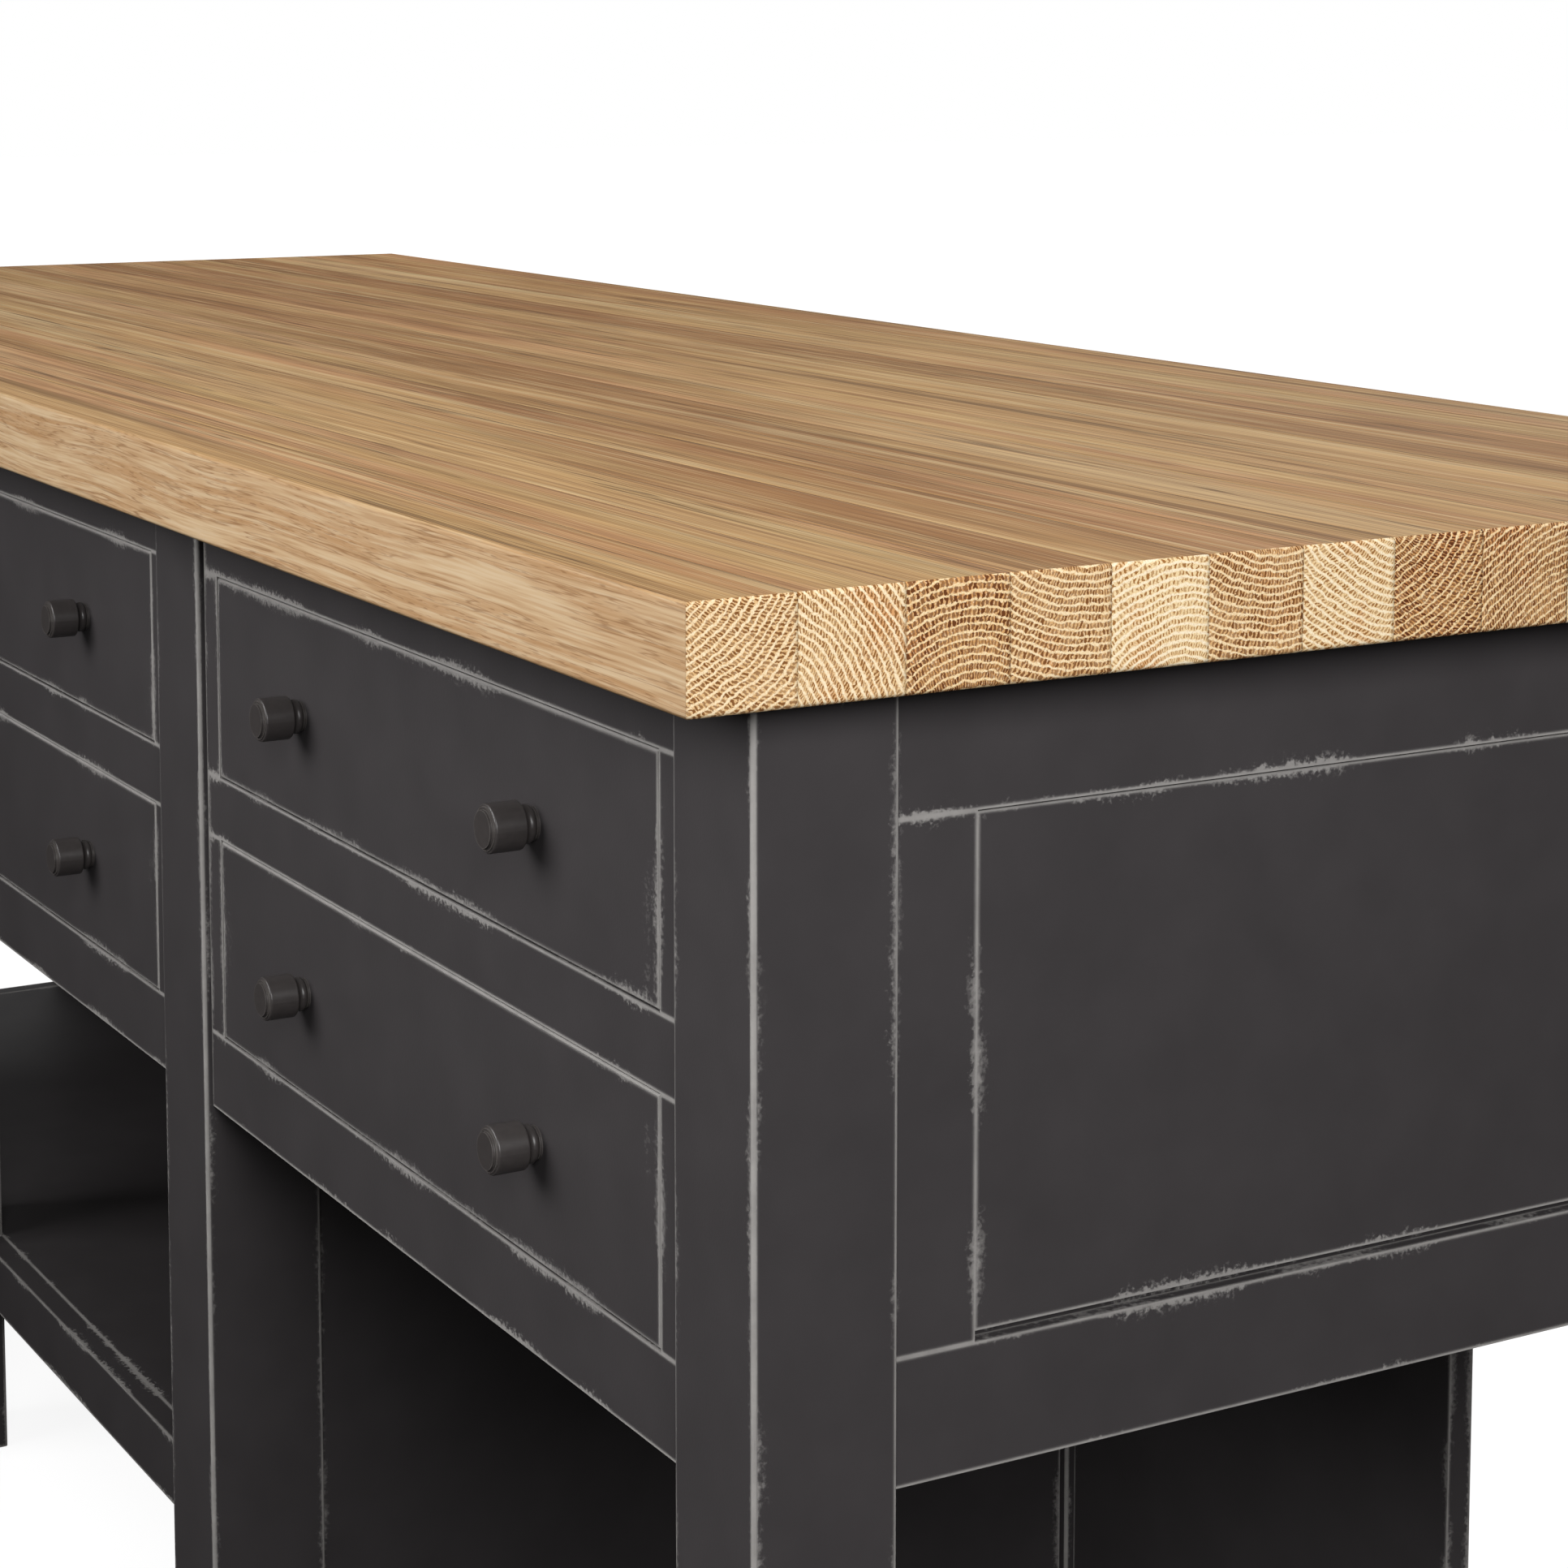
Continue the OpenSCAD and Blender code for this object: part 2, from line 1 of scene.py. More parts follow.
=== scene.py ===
# %% [markdown]
# # A long painted kitchen island with an oak top
# The solid model arrives finished: every leg, rail, drawer and knob is already in place, in metres.
# What is left for Blender is how it looks. This lesson gives the oak its growth rings and streaks,
# the charcoal paint its rubbed edges, and then sets up the light and the camera.

# %% Load the frame
import math
import bpy
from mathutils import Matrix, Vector

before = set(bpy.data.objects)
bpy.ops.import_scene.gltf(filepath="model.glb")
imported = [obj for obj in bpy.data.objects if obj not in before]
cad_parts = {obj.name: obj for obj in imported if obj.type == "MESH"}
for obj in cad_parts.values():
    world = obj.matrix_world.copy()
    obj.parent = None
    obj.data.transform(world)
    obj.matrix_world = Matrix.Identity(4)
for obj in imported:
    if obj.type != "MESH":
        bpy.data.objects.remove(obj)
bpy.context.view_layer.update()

# %% [markdown]
# ## Colours
# Colours are picked as sRGB hex values, the way a paint chart or a photo gives them. Blender
# computes light in linear values, so one function does the conversion for every material.

# %% From hex to linear colour
def linear(code):
    parts = [int(code[i:i + 2], 16) / 255 for i in (1, 3, 5)]
    return (*[p / 12.92 if p <= 0.04045 else ((p + 0.055) / 1.055) ** 2.4 for p in parts], 1)

print("mid grey is", [round(v, 3) for v in linear("#808080")])

# %% [markdown]
# ## Building materials from nodes
# A procedural material is a small network of nodes. Making each by hand in code is wordy, so one
# function adds a node, sets its options and fills its inputs. The inputs come as a list, in the
# node's own order, or by name. Each is a plain value, a socket, or another node, which then
# stands for its first output.

# %% One function for every node
def add(tree, kind, inputs=(), **settings):
    new = tree.nodes.new("ShaderNode" + kind)
    for name, value in settings.items():
        setattr(new, name, value)
    pairs = inputs.items() if isinstance(inputs, dict) else enumerate(inputs)
    for socket, value in pairs:
        if isinstance(value, bpy.types.Node):
            value = value.outputs[0]
        if isinstance(value, bpy.types.NodeSocket):
            tree.links.new(value, new.inputs[socket])
        else:
            new.inputs[socket].default_value = value
    return new

SOFT = {"interpolation_type": "SMOOTHSTEP"}    # makes a Map Range node ease in and out

print("soft steps use", SOFT["interpolation_type"])

# %% Starting and ending a material
def start_material(name):
    made = bpy.data.materials.new(name)
    made.use_nodes = True
    made.node_tree.nodes.clear()
    return made, made.node_tree

def end_material(made, tree, shader):
    add(tree, "OutputMaterial", {"Surface": shader})
    print("material:", made.name, "with", len(tree.nodes), "nodes")
    return made

# %% [markdown]
# ## Oiled oak, cut from the solid
# The top is glued from fifteen staves, each 54 mm wide and each from a different board. A sawn end
# shows the growth rings as arcs of open brown pores in pale wood. The long faces show streaks
# along the board. A picture wrapped round the top would have to be painted for every face, so the
# wood is described in three dimensions instead. Each stave gets a centre line (the pith) that lies
# outside it, and its own stretch of noise, both picked by the stave's number.

# %% Sizes in the oak, in metres
STAVE = 0.054
RING = 0.0036          # a ring of slow-grown oak is 2 to 5 mm
PORE_PITCH = 0.0019    # open pores stand 0.5 to 2 mm apart along a ring; drawn coarse, to show
OAK_MIDDLE = 0.889     # height of the middle of the top
OAK_FRONT = -0.405     # where the first stave starts
PITH_ASIDE = 0.10      # the pith is up to this far to one side of a stave
PITH_LEAST = 0.035     # it is at least this far above or below the stave's middle
PITH_MORE = 0.085      # and up to this much further
LUCK = 2311161.0       # picks which board goes where; found by trying many numbers
APART = (37.0, 11.0, 23.0)    # how far apart two boards may lie in the noise

print("rings across one stave:", round(STAVE / RING, 1))

# %% Oak: where each stave sits in its log
def oak_rings(tree):
    place = add(tree, "TexCoord").outputs["Object"]
    across = add(tree, "SeparateXYZ", [place]).outputs["Y"]
    across = add(tree, "Math", [across, -OAK_FRONT], operation="ADD")
    count = add(tree, "Math", [across, STAVE], operation="DIVIDE")
    index = add(tree, "Math", [count], operation="FLOOR")
    which = add(tree, "Math", [index, LUCK], operation="ADD")
    lucky = add(tree, "TexWhiteNoise", {"W": which}, noise_dimensions="1D").outputs["Color"]
    luck = add(tree, "SeparateXYZ", [lucky]).outputs
    side = add(tree, "MapRange", {"Value": luck["X"], "To Min": -PITH_ASIDE, "To Max": PITH_ASIDE})
    depth = add(tree, "MapRange", {"Value": luck["Y"], "To Min": -PITH_MORE, "To Max": PITH_MORE})
    away = add(tree, "Math", [depth], operation="SIGN")
    depth = add(tree, "Math", [away, PITH_LEAST, depth], operation="MULTIPLY_ADD")
    offset = add(tree, "CombineXYZ", {"Y": side, "Z": depth})
    mean = add(tree, "VectorMath", [offset], operation="LENGTH").outputs["Value"]
    middle = add(tree, "Math", [index, 0.5], operation="ADD")
    middle = add(tree, "Math", [middle, STAVE, OAK_FRONT], operation="MULTIPLY_ADD")
    middle = add(tree, "CombineXYZ", {"Y": middle, "Z": OAK_MIDDLE})
    pith = add(tree, "VectorMath", [middle, offset], operation="ADD")
    shift = add(tree, "VectorMath", [lucky, APART], operation="MULTIPLY")
    out = add(tree, "VectorMath", [place, pith], operation="SUBTRACT")
    out = add(tree, "VectorMath", [out, (0.0, 1.0, 1.0)], operation="MULTIPLY")
    radius = add(tree, "VectorMath", [out], operation="LENGTH").outputs["Value"]
    yz = add(tree, "SeparateXYZ", [out]).outputs
    angle = add(tree, "Math", [yz["Z"], yz["Y"]], operation="ARCTAN2")
    return place, luck, shift, radius, angle, mean

print("each pith is at least", PITH_LEAST * 1000, "mm from its stave's middle")

# %% [markdown]
# ## Glazes
# The colours of oak are painted as a decorator grains a door: one thin glaze after another over a
# plain ground. Each glaze takes a pattern, shows where the pattern is high (or low), and has one
# colour. Tables hold the glazes, so one can be made stronger or redder without touching the code.

# %% A stack of glazes
def glaze(tree, colour, patterns, layers):
    for pattern, start, full, strength, code in layers:
        amount = add(tree, "MapRange", {"Value": patterns[pattern], "From Min": start,
                                        "From Max": full, "To Max": strength}, **SOFT)
        colour = add(tree, "MixRGB", [amount, colour, linear(code)])
    return colour

GLAZE_ROW = ("pattern", "where it starts to show", "where it is full", "how strong", "its colour")
print("a row in a table of glazes holds:", ", ".join(GLAZE_ROW))

# %% [markdown]
# ## The sawn end
# Across the end, the distance from the pith counts the rings and the angle counts the pores along
# a ring. The two counts cut the face into small cells, and each cell holds one dark tooth: an open
# pore with its torn edge. Noise bends the rows, frays the teeth and makes some of them faint, and
# every board leans its teeth its own way. Round dots on a grid would have looked printed.

# %% Oak: the pale wood between the teeth
CRUMB_GLAZES = (
    ("crumb", 0.50, 0.70, 0.40, "#fff4da"),
    ("crumb", 0.48, 0.32, 0.35, "#c08a52"),
)

def oak_end_colour(tree, place, tone, band, blush, patch):
    # a cream line on each side of the ring's border, tan in the middle, both darker on dark boards
    cream = add(tree, "MixRGB", [tone, linear("#fdeed0"), linear("#f0cf9a")])
    tan = add(tree, "MixRGB", [tone, linear("#f6dcaa"), linear("#cf9658")])
    warm = add(tree, "MapRange", {"Value": blush, "From Min": 0.50, "From Max": 0.66, "To Max": 0.7}, **SOFT)
    warm = add(tree, "Math", [warm, patch], operation="MULTIPLY")
    tan = add(tree, "MixRGB", [warm, tan, linear("#d2884c")])
    pale = add(tree, "MapRange", {"Value": band, "From Min": 0.24, "From Max": 0.08}, **SOFT)
    colour = add(tree, "MixRGB", [pale, tan, cream])
    # crumbs of torn fibre, under a millimetre
    crumb = add(tree, "TexNoise", {"Vector": place, "Scale": 1500.0, "Detail": 1.0})
    return glaze(tree, colour, {"crumb": crumb}, CRUMB_GLAZES)

print("glazes between the teeth:", len(CRUMB_GLAZES))

# %% Oak: the sawn end
RING_WAVE, RING_SHAKE = 1.6, 0.7       # how far noise moves a row, in rings
TOOTH_SHAKE, TOOTH_LEAN = 1.5, 1.8     # how far a tooth is moved or leans, in pitches
PALE_GAP, DARK_GAP = 0.22, 0.09        # room round a tooth on the palest and the darkest board
FRAY = 0.7                             # how ragged a tooth is
FAINTEST, PATCH_GAIN = 0.50, 0.25      # the faintest tooth, and what a strong patch adds

def oak_end(tree, place, luck, radius, angle, mean):
    tone = luck["Z"]
    # noise in blobs of about 26, 1.4, 4, 3 and 40 mm
    slow, quick, wave, nudge, blush = [
        add(tree, "TexNoise", {"Vector": place, "Scale": scale, "Detail": 2.0})
        for scale in (38.0, 700.0, 260.0, 300.0, 24.0)]
    # which ring this is, a little wavy
    ring = add(tree, "Math", [radius, 1 / RING], operation="MULTIPLY")
    ring = add(tree, "Math", [slow, RING_WAVE, ring], operation="MULTIPLY_ADD")
    ring = add(tree, "Math", [wave, RING_SHAKE, ring], operation="MULTIPLY_ADD")
    row = add(tree, "Math", [ring], operation="FLOOR")
    # which tooth along the ring: arc length over the pitch, pushed along by the row's own luck
    push = add(tree, "TexWhiteNoise", {"W": row}, noise_dimensions="1D").outputs["Value"]
    arc = add(tree, "Math", [angle, mean], operation="MULTIPLY")
    arc = add(tree, "Math", [arc, 1 / PORE_PITCH, push], operation="MULTIPLY_ADD")
    arc = add(tree, "Math", [nudge, TOOTH_SHAKE, arc], operation="MULTIPLY_ADD")
    # each board leans its teeth to one side
    lean = add(tree, "MapRange", {"Value": luck["X"], "To Min": -TOOTH_LEAN, "To Max": TOOTH_LEAN})
    into = add(tree, "Math", [ring], operation="FRACT")
    arc = add(tree, "Math", [into, lean, arc], operation="MULTIPLY_ADD")
    number = add(tree, "Math", [arc], operation="FLOOR")
    number = add(tree, "CombineXYZ", [row, number])
    own = add(tree, "TexWhiteNoise", {"Vector": number}, noise_dimensions="2D").outputs["Value"]
    tooth = add(tree, "Math", [arc, 0.5], operation="PINGPONG")
    band = add(tree, "Math", [ring, 0.5], operation="PINGPONG")
    # dark boards have teeth almost the height of the ring, pale boards only small ones
    room = add(tree, "MapRange", {"Value": tone, "To Min": PALE_GAP, "To Max": DARK_GAP})
    fray = add(tree, "Math", [quick, 0.5], operation="SUBTRACT")
    fray = add(tree, "Math", [fray, FRAY], operation="MULTIPLY")
    edge = add(tree, "Math", [fray, room], operation="SUBTRACT")
    tall = add(tree, "Math", [band, edge], operation="ADD")
    tall = add(tree, "MapRange", {"Value": tall, "From Max": 0.10}, **SOFT)
    wide = add(tree, "Math", [tooth, edge], operation="ADD")
    wide = add(tree, "MapRange", {"Value": wide, "From Max": 0.12}, **SOFT)
    teeth = add(tree, "Math", [wide, tall], operation="MULTIPLY")
    # some teeth are fainter, one by one and in whole patches
    patch = add(tree, "MapRange", {"Value": slow, "From Min": 0.35, "From Max": 0.65}, **SOFT)
    depth = add(tree, "MapRange", {"Value": own, "To Min": FAINTEST, "To Max": 1.0})
    depth = add(tree, "Math", [patch, PATCH_GAIN, depth], operation="MULTIPLY_ADD", use_clamp=True)
    teeth = add(tree, "Math", [teeth, depth], operation="MULTIPLY")
    colour = oak_end_colour(tree, place, tone, band, blush, patch)
    dark = add(tree, "MixRGB", [tone, linear("#a97640"), linear("#5c2e18")])
    return add(tree, "MixRGB", [teeth, colour, dark]), teeth

print("teeth along 100 mm of a ring:", round(0.1 / PORE_PITCH))

# %% [markdown]
# ## The long faces
# Seen from above, the boards have nearly straight grain, with dark lines where open pores run along
# the surface. The outer edge is paler, with short streaks that wander a little and open pores as
# small dashes. Both come from noise that is drawn out along the board. The two faces get a recipe
# each, because one pattern of streaks for both would look ruled.

# %% The streaks
STREAK_ROUGHNESS = 0.55    # of the noise: how much its fine detail counts

# repeats to a metre along, across and up the board, and how much fine detail there is
TOP_STREAKS = {
    "broad": ((0.6, 12.0, 12.0), 2.5),      # bands 30 to 70 mm wide
    "hue": ((0.7, 31.0, 31.0), 1.0),        # redder and greener, about 30 mm wide
    "cords": ((1.6, 105.0, 105.0), 2.5),    # about 10 mm
    "lines": ((2.2, 250.0, 250.0), 1.5),    # about 3 mm apart
    "fine": ((7.0, 950.0, 950.0), 2.0),     # 1 mm, as fine as the render shows
    "where": ((1.8, 45.0, 45.0), 2.0),      # the stretches that have dark lines
    "dark": ((0.9, 62.0, 62.0), 2.0),       # a few long dark stripes
}
EDGE_STREAKS = {
    "broad": ((4.0, 50.0, 60.0), 2.0),
    "short": ((5.5, 210.0, 210.0), 2.5),
    "finer": ((16.0, 620.0, 620.0), 2.0),
    "dashes": ((70.0, 1300.0, 1300.0), 1.0),    # open pores, 5 to 10 mm long
}

def streaks(tree, place, shift, table):
    made = {}
    for name, (repeats, detail) in table.items():
        at = add(tree, "VectorMath", [place, repeats], operation="MULTIPLY")
        at = add(tree, "VectorMath", [at, shift], operation="ADD")
        made[name] = add(tree, "TexNoise", {"Vector": at, "Scale": 1.0, "Detail": detail,
                                            "Roughness": STREAK_ROUGHNESS})
    return made

def thin_lines(tree, value, width, strength):
    # where smooth noise crosses its middle value it leaves a thin winding line
    off = add(tree, "Math", [value, 0.5], operation="SUBTRACT")
    off = add(tree, "Math", [off], operation="ABSOLUTE")
    return add(tree, "MapRange", {"Value": off, "From Min": width, "From Max": 0.0,
                                  "To Max": strength}, **SOFT)

across = {name: round(STAVE * repeats[1], 1) for name, (repeats, detail) in TOP_STREAKS.items()}
print("repeats across one stave:", across)

# %% The streaks' colours
TOP_GLAZES = (
    ("hue", 0.50, 0.68, 0.50, "#bf8962"),
    ("hue", 0.48, 0.32, 0.30, "#b8a068"),
    ("broad", 0.48, 0.64, 0.72, "#8f6036"),
    ("broad", 0.46, 0.32, 0.55, "#d2b688"),
    ("cords", 0.50, 0.66, 0.32, "#865f39"),
    ("cords", 0.46, 0.32, 0.45, "#d4bc8f"),
    ("lines", 0.50, 0.66, 0.32, "#7a5635"),
)
TOP_LAST_GLAZES = (
    ("fine", 0.51, 0.64, 0.36, "#644834"),
    ("fine", 0.48, 0.35, 0.30, "#e2c596"),
    ("dark", 0.64, 0.72, 0.55, "#604326"),
)
EDGE_GLAZES = (
    ("broad", 0.40, 0.64, 0.80, "#c5a986"),
    ("short", 0.48, 0.64, 0.55, "#aa8056"),
    ("short", 0.46, 0.34, 0.50, "#cfb693"),
    ("finer", 0.50, 0.66, 0.45, "#a0784f"),
    ("finer", 0.46, 0.36, 0.40, "#d0bc9d"),
)
print("glazes on the top:", len(TOP_GLAZES + TOP_LAST_GLAZES), "and on its edge:", len(EDGE_GLAZES))

# %% Oak: the long faces
def oak_top(tree, place, luck, shift):
    streak = streaks(tree, place, shift, TOP_STREAKS)
    ground = add(tree, "MixRGB", [luck["Y"], linear("#bf9865"), linear("#ae8656")])
    colour = glaze(tree, ground, streak, TOP_GLAZES)
    where = add(tree, "MapRange", {"Value": streak["where"], "From Min": 0.36, "From Max": 0.60}, **SOFT)
    line = thin_lines(tree, streak["lines"], 0.045, 0.85)
    line = add(tree, "Math", [line, where], operation="MULTIPLY")
    colour = add(tree, "MixRGB", [line, colour, linear("#5e4326")])
    return glaze(tree, colour, streak, TOP_LAST_GLAZES), line

EDGE_WANDER = 0.006            # how far the edge's grain wanders up or down
WANDER_REPEATS = (3.5, 0.0, 9.0)

def oak_edge(tree, place, shift):
    slow = add(tree, "VectorMath", [place, WANDER_REPEATS], operation="MULTIPLY")
    slow = add(tree, "TexNoise", {"Vector": slow, "Scale": 1.0, "Detail": 1.0})
    lean = add(tree, "MapRange", {"Value": slow, "To Min": -EDGE_WANDER, "To Max": EDGE_WANDER})
    lean = add(tree, "CombineXYZ", {"Z": lean})
    bent = add(tree, "VectorMath", [place, lean], operation="ADD")
    streak = streaks(tree, bent, shift, EDGE_STREAKS)
    colour = glaze(tree, linear("#bd9d78"), streak, EDGE_GLAZES)
    calm = add(tree, "MapRange", {"Value": streak["broad"], "From Min": 0.60, "From Max": 0.44}, **SOFT)
    line = thin_lines(tree, streak["short"], 0.025, 0.60)
    line = add(tree, "Math", [line, calm], operation="MULTIPLY")
    dash = add(tree, "MapRange", {"Value": streak["dashes"], "From Min": 0.57, "From Max": 0.66,
                                  "To Max": 0.45}, **SOFT)
    dense = add(tree, "MapRange", {"Value": streak["short"], "From Min": 0.44, "From Max": 0.60}, **SOFT)
    dash = add(tree, "Math", [dash, dense], operation="MULTIPLY")
    colour = add(tree, "MixRGB", [line, colour, linear("#845d3b")])
    return add(tree, "MixRGB", [dash, colour, linear("#775132")]), dash

print("the edge's grain wanders by", EDGE_WANDER * 1000, "mm up or down")

# %% [markdown]
# ## One oak from three faces
# The way a face points says which recipe it gets. The true normal does that, because it doesn't
# change with the view. Hard oil soaks in and leaves the wood nearly matt, so the sheen is low.

# %% Oak: the finished material
OAK_ROUGHNESS = 0.7    # oiled, not varnished
OAK_IOR = 1.47         # hard wax oil
OAK_SHEEN = 0.08       # the photo's top has almost no highlight
OAK_CORNER = 0.004     # a sanded corner has no line of its own, so the shading turns it over 4 mm
PORE_DEPTH = 0.0004

def oiled_oak():
    made, tree = start_material("oiled_oak")
    place, luck, shift, radius, angle, mean = oak_rings(tree)
    top, lines = oak_top(tree, place, luck, shift)
    edge, dashes = oak_edge(tree, place, shift)
    end, teeth = oak_end(tree, place, luck, radius, angle, mean)
    facing = add(tree, "NewGeometry").outputs["True Normal"]
    facing = add(tree, "VectorMath", [facing], operation="ABSOLUTE")
    facing = add(tree, "SeparateXYZ", [facing]).outputs
    on_edge = add(tree, "MapRange", {"Value": facing["Y"], "From Min": 0.60, "From Max": 0.80}, **SOFT)
    on_end = add(tree, "Math", [facing["X"], 0.6], operation="GREATER_THAN")
    colour = add(tree, "MixRGB", [on_edge, top, edge])
    colour = add(tree, "MixRGB", [on_end, colour, end])
    relief = add(tree, "Mix", {"Factor": on_edge, "A": lines, "B": dashes})
    relief = add(tree, "Mix", {"Factor": on_end, "A": relief, "B": teeth})
    soft = add(tree, "Bevel", {"Radius": OAK_CORNER}, samples=8)
    bump = add(tree, "Bump", {"Strength": 0.3, "Distance": PORE_DEPTH, "Height": relief,
                              "Normal": soft}, invert=True)
    shader = add(tree, "BsdfPrincipled", {"Base Color": colour, "Roughness": OAK_ROUGHNESS, "IOR": OAK_IOR,
                                          "Specular IOR Level": OAK_SHEEN, "Normal": bump})
    return end_material(made, tree, shader)

OAK = oiled_oak()

# %% [markdown]
# ## Charcoal paint with rubbed edges
# The frame is sprayed in satin charcoal, then every edge is rubbed with abrasive until the pale
# undercoat shows: a thin even line along each edge, and ragged patches where the hand pressed
# longer. Painting such lines by hand on hundreds of edges is slow. The Bevel node finds edges by
# itself: close to an edge it returns a bent normal. On this square-built frame, a normal that no
# longer points along an axis means that an edge is near.

# %% Finding the edges
EDGE_LINE = 0.0034     # the even line reaches about 2 mm from each edge
EDGE_PATCH = 0.0110    # the ragged patches reach up to 7 mm

# low and high: how far the normal has turned where the wear starts and where it is full
def near_edge(tree, reach, low, high):
    bent = add(tree, "Bevel", {"Radius": reach}, samples=8)
    size = add(tree, "VectorMath", [bent], operation="ABSOLUTE")
    x, y, z = add(tree, "SeparateXYZ", [size]).outputs
    most = add(tree, "Math", [x, y], operation="MAXIMUM")
    most = add(tree, "Math", [most, z], operation="MAXIMUM")
    return add(tree, "MapRange", {"Value": most, "From Min": 1 - low, "From Max": 1 - high})

print("edges are looked for within", EDGE_PATCH * 1000, "mm")

# %% How the paint is worn
PRESS_SCALE = 14.0      # the hand presses harder on stretches 40 to 150 mm long
FEATHER_SCALE = 380.0   # the patches are ragged at 1 to 3 mm
OTHER_FACE = (0.3, 0.3, 0.3)    # how far the noise jumps from one face of an edge to the next
PRESS_FROM, PRESS_FULL = 0.43, 0.60     # the noise's values where pressing starts and is full
NEED_LIGHT, NEED_HARD = 1.88, 0.98      # what it takes to rub bare, lightly and hard pressed
FEATHER = 0.85          # what the ragged noise adds; being right at the edge adds 1
PATCH_MOST = 0.82       # a patch is never rubbed quite bare
LINE_LEAST, LINE_MOST = 0.72, 0.94      # how bare the even line is

def paint_wear(tree, place):
    line = near_edge(tree, EDGE_LINE, 0.003, 0.06)
    reach = near_edge(tree, EDGE_PATCH, 0.0, 0.22)
    reach = add(tree, "Math", [reach, 0.5], operation="POWER")
    # the two faces of an edge are rubbed at different places
    facing = add(tree, "NewGeometry").outputs["True Normal"]
    own = add(tree, "VectorMath", [facing, OTHER_FACE, place], operation="MULTIPLY_ADD")
    press = add(tree, "TexNoise", {"Vector": own, "Scale": PRESS_SCALE, "Detail": 3.0})
    need = add(tree, "MapRange", {"Value": press, "From Min": PRESS_FROM, "From Max": PRESS_FULL,
                                  "To Min": NEED_LIGHT, "To Max": NEED_HARD})
    feather = add(tree, "TexNoise", {"Vector": place, "Scale": FEATHER_SCALE, "Detail": 2.5,
                                     "Roughness": 0.6})
    feather = add(tree, "MapRange", {"Value": feather, "From Min": 0.32, "From Max": 0.68})
    chip = add(tree, "Math", [feather, FEATHER, reach], operation="MULTIPLY_ADD")
    chip = add(tree, "Math", [chip, need], operation="SUBTRACT")
    chip = add(tree, "MapRange", {"Value": chip, "From Min": 0.0, "From Max": 0.06, "To Max": PATCH_MOST})
    # the line itself is a little stronger here and weaker there
    uneven = add(tree, "TexNoise", {"Vector": place, "Scale": 55.0, "Detail": 4.0, "Roughness": 0.6})
    uneven = add(tree, "MapRange", {"Value": uneven, "From Min": 0.30, "From Max": 0.58,
                                    "To Min": LINE_LEAST, "To Max": LINE_MOST})
    line = add(tree, "Math", [line, uneven], operation="MULTIPLY")
    return add(tree, "Math", [line, chip], operation="MAXIMUM")

print("a hard-pressed stretch is about", round(1000 / PRESS_SCALE), "mm long")

# %% The sprayed coat
CHARCOAL, UNDERCOAT = "#3f3c3d", "#9b9895"
PAINT_IOR = 1.5
PAINT_SHEEN = 0.2
SATIN, BARE = 0.46, 0.75    # roughness of the coat and of the rubbed undercoat
PEEL_SCALE = 650.0      # a fine orange peel of about 1.5 mm
PEEL_DEPTH = 0.0003

def rubbed_paint():
    made, tree = start_material("charcoal_paint_rubbed")
    place = add(tree, "TexCoord").outputs["Object"]
    wear = paint_wear(tree, place)
    # a very slight mottle in tone
    mottle = add(tree, "TexNoise", {"Vector": place, "Scale": 22.0, "Detail": 4.0})
    tone = add(tree, "MapRange", {"Value": mottle, "From Min": 0.3, "From Max": 0.7,
                                  "To Min": 0.93, "To Max": 1.07})
    coat = add(tree, "MixRGB", [1.0, linear(CHARCOAL), tone], blend_type="MULTIPLY")
    colour = add(tree, "MixRGB", [wear, coat, linear(UNDERCOAT)])
    # rubbed places lie a little lower, and are rougher
    peel = add(tree, "TexNoise", {"Vector": place, "Scale": PEEL_SCALE, "Detail": 2.0})
    height = add(tree, "Math", [wear, -0.6, peel], operation="MULTIPLY_ADD")
    bump = add(tree, "Bump", {"Strength": 0.15, "Distance": PEEL_DEPTH, "Height": height})
    rough = add(tree, "MapRange", {"Value": wear, "To Min": SATIN, "To Max": BARE})
    shader = add(tree, "BsdfPrincipled", {"Base Color": colour, "Roughness": rough, "IOR": PAINT_IOR,
                                          "Specular IOR Level": PAINT_SHEEN, "Normal": bump})
    return end_material(made, tree, shader)

PAINT = rubbed_paint()

# %% [markdown]
# ## Knobs
# The knobs are turned and enamelled in the same charcoal, a little glossier and browner. Their
# rims are painted lighter, partly as polish from hands and partly as a painted highlight. A round
# piece has no axis-aligned faces, so this lighter rim comes from comparing the bent normal with the true one
# instead.

# %% Enamelled knobs
KNOB_RIM = 0.0008      # the lighter rim, partly polish and partly a painted highlight, is under a millimetre wide
KNOB_GLOSS = 0.34      # roughness of satin enamel

def knob_enamel():
    made, tree = start_material("charcoal_enamel")
    place = add(tree, "TexCoord").outputs["Object"]
    straight = add(tree, "NewGeometry").outputs["Normal"]
    bent = add(tree, "Bevel", {"Radius": KNOB_RIM}, samples=6)
    same = add(tree, "VectorMath", [straight, bent], operation="DOT_PRODUCT").outputs["Value"]
    # lighter rims: partly polish wear, partly a painted highlight along the edge
    rim_wear_and_highlight = add(tree, "MapRange", {"Value": same, "From Min": 0.99, "From Max": 0.85, "To Max": 0.35})
    mottle = add(tree, "TexNoise", {"Vector": place, "Scale": 300.0, "Detail": 3.0})
    tone = add(tree, "MapRange", {"Value": mottle, "From Min": 0.3, "From Max": 0.7,
                                  "To Min": 0.9, "To Max": 1.1})
    coat = add(tree, "MixRGB", [1.0, linear("#3c3837"), tone], blend_type="MULTIPLY")
    colour = add(tree, "MixRGB", [rim_wear_and_highlight, coat, linear("#8d8782")])
    bump = add(tree, "Bump", {"Strength": 0.06, "Distance": 0.0002, "Height": mottle})
    shader = add(tree, "BsdfPrincipled", {"Base Color": colour, "Roughness": KNOB_GLOSS,
                                          "IOR": PAINT_IOR, "Normal": bump})
    return end_material(made, tree, shader)

